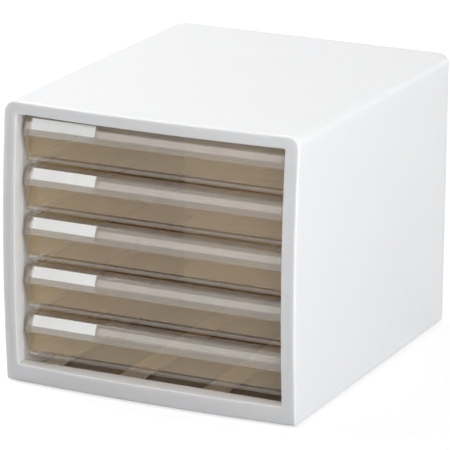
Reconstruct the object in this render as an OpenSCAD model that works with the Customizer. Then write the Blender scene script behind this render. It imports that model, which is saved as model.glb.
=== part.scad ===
// Desk-top drawer tower for A4 sheets: a white one-piece casing with a softly bowed front
// frame, a slotted base, a back cover, two runner panels and five clear smoky trays whose
// fronts roll forward into a pull lip with a label pocket.
// The origin is the centre of the box that holds the whole tower, at its foot.
// +X is the right-hand side, -Y the front and +Z up. All sizes are in millimetres.

/* [Casing] */
// Width of the casing
body_w = 270; // [250:1:300]
// Height of the casing, without its feet
body_h = 245.5; // [220:0.5:270]
// Depth of the casing, from the corners of its front to the back
body_d = 321; // [318:1:360]
// Thickness of the top, the sides and the frame
wall = 2.6; // [1.6:0.1:3.4]
// How far the front swells forward across its width
bow_across = 5.5; // [2:0.1:8]
// How far the front swells forward over its height
bow_upright = 5.8; // [2:0.1:8]
// Radius of the two upper long edges
top_r = 10; // [4:0.5:12]
// Radius of the two lower long edges
bottom_r = 2; // [0.5:0.1:2.5]
// Radius of the edges round the back
back_r = 4.5; // [1:0.1:6]

/* [Front frame] */
// Width of the frame's two uprights
frame_side = 12.5; // [11:0.1:16]
// Height of the frame's upper bar
frame_top = 11; // [10:0.1:13]
// Height of the sill
sill_h = 16; // [14:0.1:18]
// How far the frame turns inwards behind its corners
return_d = 10; // [6:0.5:11]
// Radius of the opening's corners
opening_r = 1.5; // [0.5:0.1:3]

/* [Base] */
// Thickness of the base
base_t = 3.5; // [2:0.1:5]
// Number of slots in the base
slots = 3; // [1:1:3]
// Width of each slot
slot_w = 58; // [40:0.5:60]
// Distance between the middles of two slots
slot_pitch = 78.5; // [72:0.5:79]
// Solid margin between a slot and each end of the base
slot_margin = 28; // [26:1:60]
// Radius of the slots' corners
slot_r = 3; // [1:0.5:6]
// Radius of a foot
foot_r = 6; // [4:0.5:7]
// Height of a foot
foot_h = 1.5; // [1:0.1:3]
// Distance from the side of the casing to the middle of a foot
foot_in = 15; // [12:0.5:16]
// Distance from the front and the back of the casing to the middle of a foot
foot_end = 18; // [14:0.5:22]

/* [Back cover] */
// Thickness of the back cover
cover_t = 3.2; // [2:0.1:5]
// How far the cover's tabs reach into the casing
tab_d = 4; // [2:0.5:8]
// Thickness of the tabs
tab_t = 2; // [1:0.1:3]
// Clearance round the tabs and over the runner panels
fit_gap = 0.2; // [0.1:0.05:0.4]
// Solid length left free at each end of a tab
tab_end = 28; // [20:1:60]

/* [Runners] */
// Thickness of a runner panel
panel_t = 2.6; // [1.6:0.1:3.5]
// Thickness of a ledge
ledge_t = 2; // [1.5:0.1:2.4]
// How far a ledge stands out of its panel
ledge_w = 9; // [6:0.5:14]
// Clearance where a drawer meets its stops, shut and pulled out
stop_gap = 0.3; // [0.2:0.05:0.5]
// Distance from the ledge's front end to the stop tab
stop_y = 8; // [6:0.5:20]
// Length of the stop tab
stop_l = 4; // [3:0.5:8]
// Clearance between the stop tab and the tray's side under it
stop_over = 3; // [2:0.1:4]
// How far the stop tab stands out of its panel
stop_w = 4; // [3:0.1:5]

/* [Drawers] */
// Gap between two drawer fronts
front_gap = 3; // [2:0.1:4]
// Height of the lowest drawer's front over the sill
front_lift = 4; // [3:0.1:5]
// Gap between the topmost front and the frame's upper bar
front_top_gap = 2.5; // [1.5:0.1:4]
// Clearance at each side of a front and its tray
side_gap = 1; // [0.6:0.1:1.6]
// How far the front panel lies behind the frame's corners
panel_y = 14; // [13:0.5:16]
// Thickness of the front panel
front_t = 2; // [1.6:0.1:2.4]
// Thickness of the tray's sides, back and floor
tray_t = 1.8; // [1.2:0.1:2]
// How far the tray's sides stop short of the top of its front
tray_drop = 7; // [6:0.1:9]
// Clearance under the tray, over its ledges
ride_gap = 0.3; // [0.2:0.05:0.4]
// Clearance behind the tray
tray_rear_gap = 2; // [1:0.5:6]
// Radius of the tray's rear corners
tray_r = 4; // [2:0.5:8]
// How far a drawer pulls out
travel = 235; // [180:1:245]
// Length of the stop lug on the tray's side
lug_l = 8; // [4:1:14]
// Clearance between the stop lug and the ledge over it
lug_gap = 3; // [2:0.1:4]

/* [Pull lip] */
// How far the lip stands in front of its panel
lip_d = 11; // [9:0.5:12]
// Height of the lip
lip_h = 17; // [15:0.5:20]
// Thickness of the lip
lip_t = 1.8; // [1.2:0.1:2]
// How far the lip's shoulder lies behind its lower edge
shoulder_in = 5; // [4.5:0.1:5.5]
// Fall of the lip's crown from the panel to the shoulder
shoulder_drop = 1.6; // [1:0.1:1.8]
// Radius of the shoulder
shoulder_r = 5; // [2.4:0.1:5.6]
// How far the bend under the label lies behind the lip's lower edge
bend_in = 1.1; // [0.6:0.1:2]
// Distance from the top of the front down to the bend
bend_drop = 11.1; // [11:0.1:12]
// Thickness of the cheeks at the lip's two ends
cheek_t = 2.2; // [1.6:0.1:3]
// How far the cheeks step back under the lip's lower edge
cheek_back = 2.5; // [1:0.1:4]
// Radius of the lip's end corners
lip_r = 5; // [3:0.5:6]
// Height of the bead along the foot of the front
bead_h = 4; // [3:0.1:5]
// How far the bead stands in front of its panel
bead_d = 3; // [2:0.1:4]

/* [Labels] */
// Length of a label card
card_l = 58.5; // [40:0.5:80]
// Height of a label card
card_h = 9.4; // [8:0.1:9.6]
// Thickness of a label card
card_t = 0.35; // [0.2:0.05:0.5]
// Distance from the end of the lip to the card
card_in = 10.2; // [8:0.1:20]
// Distance from the card's lower edge to the bend
card_foot = 0.4; // [0.2:0.1:0.6]
// Thickness of the label window
window_t = 1; // [0.8:0.1:1.2]
// Room for the card between the lip and its window
pocket_t = 0.9; // [0.7:0.1:1.1]
// Width of the window's end ribs
window_rib = 1.2; // [1:0.1:2]
// How far the window rises over the card
window_over = 0.2; // [0:0.1:0.3]
// Distance from the window's lower edge to the lip's
window_up = 1.5; // [1:0.1:3]
// Room at each end of the card and under it
card_gap = 0.1; // [0.05:0.05:0.3]
// Radius of the small nib on the window
nib_r = 1.1; // [0.8:0.1:1.5]
// Length of the small nib
nib_l = 6; // [3:0.5:8]
// How deep the nib's middle lies under the window's face
nib_in = 0.3; // [0.2:0.1:0.6]

/* [Hidden] */

// Number of drawers, which the nodes name one by one from the top
drawers = 5;
// Steps of the small round shapes and of the bowed front
FINE = 96;
BOW_STEPS = 720;
// Reach of a cut past the face that it opens, and the small sinking of one solid in another
cut = 20;
sink = 0.5;

// Heights
casing_low = foot_h;
casing_high = foot_h + body_h;
opening_low = casing_low + sill_h;
opening_high = casing_high - frame_top;
base_high = casing_low + base_t;
skin_low = casing_high - wall;

// Half widths
half_w = body_w / 2;
half_in = half_w - wall;
half_open = half_w - frame_side;
half_front = half_open - side_gap;

// The bowed front: a ring of two large radii that passes through the four front corners
mid_z = (casing_low + casing_high) / 2;
ring_r = (half_w * half_w + bow_across * bow_across) / (2 * bow_across);
arch_r = (body_h * body_h / 4 + bow_upright * bow_upright) / (2 * bow_upright);
ring_y = ring_r - bow_across;
function arch(z) = sqrt(arch_r * arch_r - (z - mid_z) * (z - mid_z)) - arch_r + bow_upright;
function bow_y(x, z) = ring_y - sqrt(pow(ring_r + arch(z), 2) - x * x);

// Depths, first from the plane of the front corners, then moved so that the box is centred
foremost = min(bow_y(0, opening_low), bow_y(0, opening_high), bow_y(half_open, mid_z));
shift_y = -(foremost + body_d) / 2;
cover_y = body_d - cover_t;
ledge_y = panel_y + front_t + stop_gap;
tray_rear = cover_y - tray_rear_gap;

// Drawers are counted from the top and share the height of the opening
front_h = (opening_high - opening_low - front_lift - front_top_gap + front_gap) / drawers - front_gap;
pitch = front_h + front_gap;
function front_z(i) = opening_low + front_lift + (drawers - i) * pitch;

// Heights in a drawer's own frame, whose zero is the foot of its front
tray_low = ledge_t / 2 + ride_gap;
tray_high = front_h - tray_drop;
tray_h = tray_high - tray_low;
next_ledge = pitch - ledge_t / 2;
lug_high = next_ledge - lug_gap;
stop_h = next_ledge - tray_high - stop_over;
lip_low = front_h - lip_h;
lug_y = ledge_y + stop_y + stop_l + travel + stop_gap;

// The lip in the side view (Y, Z): three straight runs, which are crown, facet and band,
// between four corners. Each can be moved out of the lip's face by a distance.
lip_corners = [[panel_y, front_h],
               [panel_y - lip_d + shoulder_in, front_h - shoulder_drop],
               [panel_y - lip_d + bend_in, front_h - bend_drop],
               [panel_y - lip_d, lip_low]];
function run(i) = lip_corners[i + 1] - lip_corners[i];
function run_dir(i) = run(i) / norm(run(i));
function run_out(i) = [run_dir(i)[1], -run_dir(i)[0]];
function run_point(i, far, out) = lip_corners[i] + far * run_dir(i) + out * run_out(i);
function mitre(i, out) =
    lip_corners[i] + out * (run_out(i - 1) + run_out(i)) / (1 + run_out(i - 1) * run_out(i));
function lip_line(out) = [[panel_y, front_h + out / run_out(0)[1]],
                          mitre(1, out),
                          mitre(2, out),
                          lip_corners[3] + out * run_out(2)];
shoulder_at = mitre(1, -shoulder_r);

// Places along the facet and along the band
card_end = norm(run(1)) - card_foot;
card_start = card_end - card_h;
window_end = norm(run(2)) - window_up;

// Place of the label along the lip
card_left = -half_front + card_in;
window_left = card_left - window_rib - card_gap;
window_l = card_l + 2 * (window_rib + card_gap);

// ---------------------------------------------------------------- shared forms

// A rectangle with four equal corner radii, made of squares and circles
module soft_square(w, h, r) {
    square([w - 2 * r, h], center = true);
    square([w, h - 2 * r], center = true);
    for (x = [-1, 1], y = [-1, 1]) {
        translate([x * (w / 2 - r), y * (h / 2 - r)]) circle(r = r, $fn = FINE);
    }
}

// An upright outline with one radius at the foot and another at the head
module upright(half, low, high, low_r, high_r) {
    translate([-half, low + low_r]) square([2 * half, high - low - low_r - high_r]);
    translate([-half + low_r, low]) square([2 * (half - low_r), high - low - high_r]);
    translate([-half + high_r, low + low_r]) square([2 * (half - high_r), high - low - low_r]);
    for (side = [-1, 1]) {
        translate([side * (half - low_r), low + low_r]) circle(r = low_r, $fn = FINE);
        translate([side * (half - high_r), high - high_r]) circle(r = high_r, $fn = FINE);
    }
}

// Extrudes an outline drawn in X and Z along Y, from one depth to another
module along_y(from, to) {
    translate([0, to, 0]) rotate([90, 0, 0]) linear_extrude(height = to - from) children();
}

// Extrudes an outline drawn in Y and Z along X, from one place to another
module along_x(from, to) {
    translate([from, 0, 0]) rotate([90, 0, 90]) linear_extrude(height = to - from) children();
}

// Everything behind the bowed front, as one ring of revolution
module behind_bow() {
    translate([0, ring_y, 0]) rotate_extrude($fn = BOW_STEPS) {
        intersection() {
            translate([ring_r + bow_upright - arch_r, mid_z]) circle(r = arch_r, $fn = BOW_STEPS);
            translate([ring_r / 2, -cut]) square([ring_r, casing_high + 2 * cut]);
        }
    }
}

// The casing's full outer form: front view, plan and side view, cut by the bowed front
module outer_form() {
    intersection() {
        along_y(-cut, body_d) upright(half_w, casing_low, casing_high, bottom_r, top_r);
        translate([0, 0, -cut]) linear_extrude(height = casing_high + 2 * cut) {
            translate([-half_w, -cut]) square([body_w, body_d + cut - back_r]);
            translate([-half_w + back_r, -cut]) square([body_w - 2 * back_r, body_d + cut]);
            for (side = [-1, 1]) {
                translate([side * (half_w - back_r), body_d - back_r]) circle(r = back_r, $fn = FINE);
            }
        }
        along_x(-half_w - cut, half_w + cut) {
            translate([-cut, -cut]) square([body_d + cut - back_r, casing_high + cut]);
            translate([-cut, -cut]) square([body_d + cut, casing_high + cut - back_r]);
            translate([body_d - back_r, casing_high - back_r]) circle(r = back_r, $fn = FINE);
        }
        behind_bow();
    }
}

// ---------------------------------------------------------------- casing

// Top, sides and front frame in one moulding, open at the back and below
module casing_shell() {
    color("white") translate([0, shift_y, 0]) difference() {
        outer_form();
        translate([-body_w, cover_y, -cut]) cube([2 * body_w, body_d, casing_high + 2 * cut]);
        difference() {
            intersection() {
                along_y(-cut, body_d) upright(half_in, -cut, skin_low, sink, top_r - wall);
                translate([0, wall, 0]) behind_bow();
            }
            translate([-half_open - wall, -cut, opening_low - wall]) {
                cube([2 * (half_open + wall), cut + return_d,
                      opening_high - opening_low + 2 * wall]);
            }
        }
        along_y(-cut, return_d + sink) translate([0, (opening_low + opening_high) / 2]) {
            soft_square(2 * half_open, opening_high - opening_low, opening_r);
        }
    }
}

// Base plate with long slots, between the casing's sides
module base_grid() {
    color("whitesmoke") translate([0, shift_y, 0]) difference() {
        intersection() {
            translate([-half_in, -cut, casing_low]) cube([2 * half_in, cut + cover_y, base_t]);
            translate([0, wall, 0]) behind_bow();
        }
        for (s = [0:slots - 1]) {
            translate([(s - (slots - 1) / 2) * slot_pitch, cover_y / 2, 0]) {
                linear_extrude(height = 2 * cut) {
                    soft_square(slot_w, cover_y - 2 * slot_margin, slot_r);
                }
            }
        }
    }
}

// Back cover with three tabs that locate it inside the casing
module back_cover() {
    tab_face = half_in - fit_gap;
    color("white") translate([0, shift_y, 0]) {
        intersection() {
            outer_form();
            translate([-body_w, cover_y, -cut]) cube([2 * body_w, body_d, casing_high + 2 * cut]);
        }
        for (side = [-1, 1]) {
            translate([side * (tab_face - tab_t / 2) - tab_t / 2, cover_y - tab_d,
                       opening_low + tab_end]) {
                cube([tab_t, tab_d + sink, opening_high - opening_low - 2 * tab_end]);
            }
        }
        translate([-half_open + tab_end, cover_y - tab_d, skin_low - fit_gap - tab_t]) {
            cube([2 * (half_open - tab_end), tab_d + sink, tab_t]);
        }
    }
}

// Runner panel for the right-hand side: a ledge under each tray, one more over the
// topmost tray, and a stop tab under every ledge but the lowest
module runner_panel() {
    color("whitesmoke") translate([0, shift_y, 0]) {
        translate([half_open, return_d, base_high]) {
            cube([panel_t, cover_y - return_d, skin_low - fit_gap - base_high]);
        }
        for (i = [0:drawers]) {
            translate([half_open - ledge_w, ledge_y, front_z(i) - ledge_t / 2]) {
                cube([ledge_w + sink, cover_y - ledge_y, ledge_t]);
            }
        }
        for (i = [0:drawers - 1]) {
            translate([half_open - stop_w, ledge_y + stop_y, front_z(i) - ledge_t / 2 - stop_h]) {
                cube([stop_w + sink, stop_l, stop_h + sink]);
            }
        }
    }
}

module runner_panel_left() {
    mirror([1, 0, 0]) runner_panel();
}

module runner_panel_right() {
    runner_panel();
}

// A round pad under one corner of the base
module foot(side, y) {
    color("dimgray") translate([side * (half_w - foot_in), y + shift_y, 0]) {
        cylinder(r = foot_r, h = foot_h, $fn = FINE);
    }
}

module foot_front_left() {
    foot(-1, foot_end);
}

module foot_front_right() {
    foot(1, foot_end);
}

module foot_rear_left() {
    foot(-1, body_d - foot_end);
}

module foot_rear_right() {
    foot(1, body_d - foot_end);
}

// ---------------------------------------------------------------- drawers

// The sharp part of the shoulder that lies outside a radius, in the side view
module shoulder_waste(r) {
    difference() {
        polygon([shoulder_at, shoulder_at + cut * run_out(0),
                 shoulder_at + cut * (run_out(0) + run_out(1)),
                 shoulder_at + cut * run_out(1)]);
        translate(shoulder_at) circle(r = r, $fn = FINE);
    }
}

// Side view of a front: the lip above, the cheek's edge and the bead below
module front_side_view() {
    difference() {
        polygon(concat(
            [[panel_y + front_t, front_h]],
            lip_line(0),
            [lip_corners[3] - cheek_back * run_out(2),
             [panel_y - bead_d, bead_h],
             [panel_y - bead_d, 0],
             [panel_y + front_t, 0]]));
        shoulder_waste(shoulder_r);
    }
}

// The space under the lip and in front of the panel, between the cheeks. It runs a little
// past the lip's lower edge, whose end face the side view alone gives.
module finger_room() {
    room_end = run_point(2, norm(run(2)) + sink, -lip_t);
    along_x(-half_front + cheek_t, half_front - cheek_t) {
        difference() {
            polygon([lip_line(-lip_t)[0], mitre(1, -lip_t), mitre(2, -lip_t), room_end,
                     [-cut, room_end[1]], [-cut, bead_h], [panel_y, bead_h]]);
            shoulder_waste(shoulder_r - lip_t);
        }
    }
}

// Front with its lip, cheeks, panel and bead
module drawer_front() {
    difference() {
        intersection() {
            along_x(-half_front, half_front) front_side_view();
            translate([0, 0, -cut]) linear_extrude(height = front_h + 2 * cut) {
                translate([0, panel_y - lip_d + cut]) soft_square(2 * half_front, 2 * cut, lip_r);
            }
            along_y(-cut, 2 * cut) translate([0, front_h - pitch]) {
                soft_square(2 * half_front, 2 * pitch, lip_r);
            }
        }
        finger_room();
    }
}

// Plan of a tray: square corners at the front and round ones at the rear
module tray_plan(half, from, to, r) {
    translate([-half, from]) square([2 * half, to - from - r]);
    translate([-half + r, from]) square([2 * (half - r), to - from]);
    for (side = [-1, 1]) {
        translate([side * (half - r), to - r]) circle(r = r, $fn = FINE);
    }
}

// Tray behind the front: floor, sides, back and the two stop lugs
module tray() {
    translate([0, 0, tray_low]) difference() {
        linear_extrude(height = tray_h) {
            tray_plan(half_front, panel_y + front_t - sink, tray_rear, tray_r);
        }
        translate([0, 0, tray_t]) linear_extrude(height = tray_h) {
            tray_plan(half_front - tray_t, panel_y + front_t, tray_rear - tray_t, tray_r - tray_t);
        }
    }
    for (side = [-1, 1]) {
        translate([side * (half_front - tray_t / 2) - tray_t / 2, lug_y, tray_high - sink]) {
            cube([tray_t, lug_l, lug_high - tray_high + sink]);
        }
    }
}

// One drawer, counted from the top
module drawer(i) {
    color([0.62, 0.55, 0.46, 0.6]) translate([0, shift_y, front_z(i)]) {
        drawer_front();
        tray();
    }
}

// Clear pocket over the label, open along its upper edge, with a nib at its middle
module label_window(i) {
    window_start = card_start - window_over;
    window_face = pocket_t + window_t;
    nib_at = mitre(2, window_face - nib_in);
    color([0.85, 0.88, 0.86, 0.5]) translate([0, shift_y, front_z(i)]) {
        difference() {
            along_x(window_left, window_left + window_l) {
                polygon([run_point(1, window_start, 0), run_point(1, window_start, window_face),
                         mitre(2, window_face), run_point(2, window_end, window_face),
                         run_point(2, window_end, 0), lip_corners[2]]);
            }
            along_x(card_left - card_gap, card_left + card_l + card_gap) {
                polygon([run_point(1, -cut, -sink), run_point(1, -cut, pocket_t),
                         run_point(1, card_end + card_gap, pocket_t),
                         run_point(1, card_end + card_gap, -sink)]);
            }
        }
        translate([window_left + window_l / 2 - nib_l / 2, nib_at[0], nib_at[1]]) {
            rotate([0, 90, 0]) cylinder(r = nib_r, h = nib_l, $fn = FINE);
        }
    }
}

// Paper label that stands in the pocket, midway between the lip and the window
module label_card(i) {
    under = (pocket_t - card_t) / 2;
    color("white") translate([0, shift_y, front_z(i)]) along_x(card_left, card_left + card_l) {
        polygon([run_point(1, card_start, under), run_point(1, card_start, under + card_t),
                 run_point(1, card_end, under + card_t), run_point(1, card_end, under)]);
    }
}

module drawer_1() { drawer(1); }
module drawer_2() { drawer(2); }
module drawer_3() { drawer(3); }
module drawer_4() { drawer(4); }
module drawer_5() { drawer(5); }
module label_window_1() { label_window(1); }
module label_window_2() { label_window(2); }
module label_window_3() { label_window(3); }
module label_window_4() { label_window(4); }
module label_window_5() { label_window(5); }
module label_card_1() { label_card(1); }
module label_card_2() { label_card(2); }
module label_card_3() { label_card(3); }
module label_card_4() { label_card(4); }
module label_card_5() { label_card(5); }

casing_shell();
base_grid();
back_cover();
runner_panel_left();
runner_panel_right();
foot_front_left();
foot_front_right();
foot_rear_left();
foot_rear_right();
drawer_1();
drawer_2();
drawer_3();
drawer_4();
drawer_5();
label_window_1();
label_window_2();
label_window_3();
label_window_4();
label_window_5();
label_card_1();
label_card_2();
label_card_3();
label_card_4();
label_card_5();
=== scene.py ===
import logging
import math
from dataclasses import dataclass, field, replace
from enum import Enum
from typing import Callable, Sequence

import bmesh
import bpy
from mathutils import Matrix, Vector


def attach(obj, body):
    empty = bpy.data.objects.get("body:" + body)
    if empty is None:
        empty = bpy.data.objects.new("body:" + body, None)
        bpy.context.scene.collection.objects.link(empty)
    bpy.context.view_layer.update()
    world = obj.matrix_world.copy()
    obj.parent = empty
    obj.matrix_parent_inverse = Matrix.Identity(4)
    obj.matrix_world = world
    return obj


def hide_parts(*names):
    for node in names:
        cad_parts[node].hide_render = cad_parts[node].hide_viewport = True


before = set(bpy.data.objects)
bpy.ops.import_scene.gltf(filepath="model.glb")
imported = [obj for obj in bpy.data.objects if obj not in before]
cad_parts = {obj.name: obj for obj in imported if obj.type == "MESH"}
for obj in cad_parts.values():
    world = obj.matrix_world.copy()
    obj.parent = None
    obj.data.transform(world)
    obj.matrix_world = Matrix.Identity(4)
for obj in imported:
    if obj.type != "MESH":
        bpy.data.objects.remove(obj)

log = logging.getLogger("drawer_tower")

# The CAD is drawn in millimetres, with its depths counted from the plane of the front
# corners. Meshes are made in the same way and go to metres in the frame at the end.
MM = 0.001
SHIFT_Y = -157.091

# Points closer than these become one, in millimetres: in a new mesh and in a finished one.
DRAFT_WELD = 1e-4
MESH_WELD = 1e-3

# Faces that meet within this angle in degrees count as one flat face.
FLAT_ANGLE = 1.0

# Segments in the arc at each corner of a drawer front's outline.
ARC_STEPS = 6

# Segments in the rounds of a small block, and the least share of its radius that its
# upright edges keep where its rims round off.
BOX_STEPS = 4
BOX_LEAST = 0.15

WHITE = (1.0, 1.0, 1.0, 1.0)

# Material slots of a drawer: its front is slot 0. Slot 1 is a darker copy of the same plastic:
# # painted dark edge lines on its rounds and edges, which clear plastic shows by refraction.
PAINTED_DARK_EDGE_SLOT = 1
TRAY_SLOT = 2
# Slot 3 is a lighter copy of the same plastic: painted light on the panel, which lies in shade
# under the lip.
PAINTED_LIGHT_PANEL_SLOT = 3

Point2 = tuple[float, float]
Point3 = tuple[float, float, float]
Tint = tuple[float, float, float, float]
Corner = tuple[Point2, float]


class Side(Enum):
    """The tower's two sides, with the sign of X on each."""

    LEFT = -1
    RIGHT = 1


class Cut(Enum):
    """How one closed mesh changes another."""

    TAKE_AWAY = "DIFFERENCE"
    JOIN = "UNION"


# ---------------------------------------------------------------- lines in two dimensions


def rounded_path(
    corners: Sequence[Corner], closed: bool = True, steps: int = 6
) -> list[Point2]:
    """Turn corners with radii into a line with an arc at each corner.

    Args:
        corners: Corner and radius pairs, in order.
        closed: Whether the last corner joins the first.
        steps: Segments in each arc.

    Returns:
        The points of the line. A corner of radius 0 gives one point.
    """
    points: list[Point2] = []
    count = len(corners)
    for index, (corner, radius) in enumerate(corners):
        here = Vector(corner)
        at_end = not closed and index in (0, count - 1)
        if radius <= 0 or at_end:
            points.append(corner)
            continue
        back = (Vector(corners[index - 1][0]) - here).normalized()
        ahead = (Vector(corners[(index + 1) % count][0]) - here).normalized()
        half = math.acos(max(-1.0, min(1.0, back.dot(ahead)))) / 2
        reach = radius / math.tan(half)
        centre = here + (back + ahead).normalized() * (radius / math.sin(half))
        first = here + back * reach - centre
        last = here + ahead * reach - centre
        turn = first.angle_signed(last)
        for step in range(steps + 1):
            angle = -turn * step / steps
            cos, sin = math.cos(angle), math.sin(angle)
            spoke = Vector((first.x * cos - first.y * sin, first.x * sin + first.y * cos))
            points.append(tuple(centre + spoke))
    return points


@dataclass(frozen=True)
class RingPlan:
    """A four-sided outline with one radius at its low corners and one at its high ones.

    Every ring of a plan has the same number of points, so that rings can be lofted.
    """

    across: int = 40
    along: int = 36
    corner: int = 8

    def ring(
        self, half: float, low: float, high: float, low_r: float, high_r: float
    ) -> list[Point2]:
        """Give the ring's points.

        Args:
            half: Half width.
            low: Lowest second coordinate.
            high: Highest second coordinate.
            low_r: Radius of the two low corners.
            high_r: Radius of the two high corners.

        Returns:
            The points, counted from the foot of the lower right corner.
        """
        arcs = (
            ((half - low_r, low + low_r), low_r, -90),
            ((half - high_r, high - high_r), high_r, 0),
            ((-half + high_r, high - high_r), high_r, 90),
            ((-half + low_r, low + low_r), low_r, 180),
        )
        sides = (self.along, self.across, self.along, self.across)
        bends: list[list[Point2]] = []
        for (x, z), radius, start in arcs:
            bend = []
            for step in range(self.corner + 1):
                angle = math.radians(start + 90 * step / self.corner)
                bend.append((x + radius * math.cos(angle), z + radius * math.sin(angle)))
            bends.append(bend)
        points: list[Point2] = []
        for index, bend in enumerate(bends):
            points += bend
            last, first = bend[-1], bends[(index + 1) % len(bends)][0]
            points += [
                between(last, first, step / sides[index]) for step in range(1, sides[index])
            ]
        return points


def between(first: Point2, last: Point2, share: float) -> Point2:
    """Give the point at a share of the way between two points."""
    return (first[0] + (last[0] - first[0]) * share, first[1] + (last[1] - first[1]) * share)


def quarter(radius: float, steps: int) -> list[Point2]:
    """Give a quarter round, from its start to its end.

    Args:
        radius: Its radius.
        steps: Number of segments.

    Returns:
        Pairs of inset and distance to go.
    """
    pairs = []
    for step in range(steps + 1):
        angle = math.pi / 2 * step / steps
        pairs.append((radius * (1 - math.cos(angle)), radius * (1 - math.sin(angle))))
    return pairs


def round_inset(from_end: float, radius: float) -> float:
    """Tell how far a round edge steps back.

    Args:
        from_end: Distance from its end.
        radius: Its radius.

    Returns:
        The inset, which is 0 from one radius on.
    """
    if from_end >= radius:
        return 0.0
    return radius - math.sqrt(max(radius**2 - (radius - from_end) ** 2, 0.0))


# ---------------------------------------------------------------- meshes


class Draft:
    """A mesh that is being made, in millimetres."""

    def __init__(self, plain: int = 0) -> None:
        """Start an empty mesh whose faces take a plain material slot where none is given."""
        self.bm = bmesh.new()
        self.plain = plain

    def loop(self, points: Sequence[Sequence[float]]) -> list[bmesh.types.BMVert]:
        """Add the points and give their vertices."""
        return [self.bm.verts.new(point) for point in points]

    def bridge(
        self,
        first: Sequence[bmesh.types.BMVert],
        second: Sequence[bmesh.types.BMVert],
        slots: Sequence[int] = (),
    ) -> None:
        """Join two closed loops of the same length with four-sided faces.

        Args:
            first: Vertices of one loop.
            second: Vertices of the other.
            slots: Material slot of each face, where it isn't the plain one.
        """
        count = len(first)
        for index in range(count):
            after = (index + 1) % count
            corners = (first[index], first[after], second[after], second[index])
            face = self.bm.faces.new(corners)
            face.material_index = slots[index] if slots else self.plain

    def cap(self, loop: Sequence[bmesh.types.BMVert]) -> None:
        """Close a flat loop with one face."""
        self.bm.faces.new(loop).material_index = self.plain

    def loft(
        self,
        stations: Sequence[Sequence[Sequence[float]]],
        capped: bool,
        bands: Sequence[int] = (),
    ) -> None:
        """Join stations of equal length in order.

        Args:
            stations: Loops of points.
            capped: Caps on the first and last, or else the last joins the first.
            bands: Bands that take the second material slot, the darker copy with painted dark
                edge lines, by the station each starts from.
        """
        loops = [self.loop(station) for station in stations]
        for index in range(len(loops) - 1):
            slots = [PAINTED_DARK_EDGE_SLOT] * len(loops[index]) if index in bands else ()
            self.bridge(loops[index], loops[index + 1], slots)
        if capped:
            self.cap(loops[0])
            self.cap(loops[-1])
        else:
            self.bridge(loops[-1], loops[0])

    def box(self, low: Sequence[float], high: Sequence[float], radius: float) -> None:
        """Add a block with rounded upright edges and rounded upper and lower rims.

        Args:
            low: Lowest corner.
            high: Highest corner.
            radius: Radius of all its edges.
        """
        plan = RingPlan(across=1, along=1, corner=BOX_STEPS)
        least = radius * BOX_LEAST
        half = (high[0] - low[0]) / 2
        middle = (high[0] + low[0]) / 2
        stations = []
        rounds = quarter(radius, BOX_STEPS)
        rims = [(inset, low[2] + rise) for inset, rise in reversed(rounds)]
        rims += [(inset, high[2] - rise) for inset, rise in rounds]
        for inset, z in rims:
            small = max(radius - inset, least)
            ring = plan.ring(half - inset, low[1] + inset, high[1] - inset, small, small)
            stations.append([(middle + x, y, z) for x, y in ring])
        self.loft(stations, capped=True)

    def object(self, name: str, *materials: bpy.types.Material) -> bpy.types.Object:
        """Finish the mesh with its faces pointing outwards.

        Args:
            name: Name of the object.
            materials: Its materials.

        Returns:
            The new object, linked to the scene.
        """
        bmesh.ops.remove_doubles(self.bm, verts=self.bm.verts, dist=DRAFT_WELD)
        bmesh.ops.recalc_face_normals(self.bm, faces=self.bm.faces)
        mesh = bpy.data.meshes.new(name)
        self.bm.to_mesh(mesh)
        self.bm.free()
        for material in materials:
            mesh.materials.append(material)
        made = bpy.data.objects.new(name, mesh)
        bpy.context.scene.collection.objects.link(made)
        return made


def baked(obj: bpy.types.Object) -> None:
    """Turn an object's modifiers into plain mesh and remove them.

    Args:
        obj: The object.
    """
    graph = bpy.context.evaluated_depsgraph_get()
    graph.update()
    evaluated = obj.evaluated_get(graph)
    mesh = bpy.data.meshes.new_from_object(evaluated, depsgraph=graph)
    obj.modifiers.clear()
    old = obj.data
    obj.data = mesh
    mesh.name = obj.name
    bpy.data.meshes.remove(old)


def combined(obj: bpy.types.Object, other: bpy.types.Object, how: Cut) -> None:
    """Cut a closed object with another, or join them, and remove the other.

    Args:
        obj: The object that changes.
        other: The one that goes.
        how: Whether it is taken away or joined.
    """
    step = obj.modifiers.new("cut", "BOOLEAN")
    step.operation = how.value
    step.solver = "EXACT"
    step.object = other
    baked(obj)
    bpy.data.objects.remove(other)


def smoothed(obj: bpy.types.Object, sharp: float = 32.0) -> None:
    """Shade an object smooth, with hard edges where its faces turn sharply.

    Args:
        obj: The object, still in millimetres.
        sharp: Angle in degrees from which an edge is hard.
    """
    bm = bmesh.new()
    bm.from_mesh(obj.data)
    bmesh.ops.remove_doubles(bm, verts=bm.verts, dist=MESH_WELD)
    bmesh.ops.dissolve_degenerate(bm, edges=bm.edges, dist=MESH_WELD)
    bm.to_mesh(obj.data)
    bm.free()
    obj.data.shade_smooth()
    obj.data.set_sharp_from_angle(angle=math.radians(sharp))
    step = obj.modifiers.new("normals", "WEIGHTED_NORMAL")
    step.keep_sharp = True
    step.weight = 100
    baked(obj)


def placed(obj: bpy.types.Object, lift: float = 0.0) -> bpy.types.Object:
    """Move a finished mesh from millimetres into the frame's metres.

    Args:
        obj: The object, at the origin.
        lift: Height in millimetres to add.

    Returns:
        The same object.
    """
    scale = Matrix.Scale(MM, 4)
    obj.data.transform(scale @ Matrix.Translation((0.0, SHIFT_Y, lift)))
    obj.data.update()
    return obj


def copied(obj: bpy.types.Object, name: str) -> bpy.types.Object:
    """Copy an object with its mesh.

    Args:
        obj: The object.
        name: Name of the copy and its mesh.

    Returns:
        The copy, linked to the scene.
    """
    other = obj.copy()
    other.data = obj.data.copy()
    other.name = other.data.name = name
    bpy.context.scene.collection.objects.link(other)
    return other


# ---------------------------------------------------------------- finishes


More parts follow.
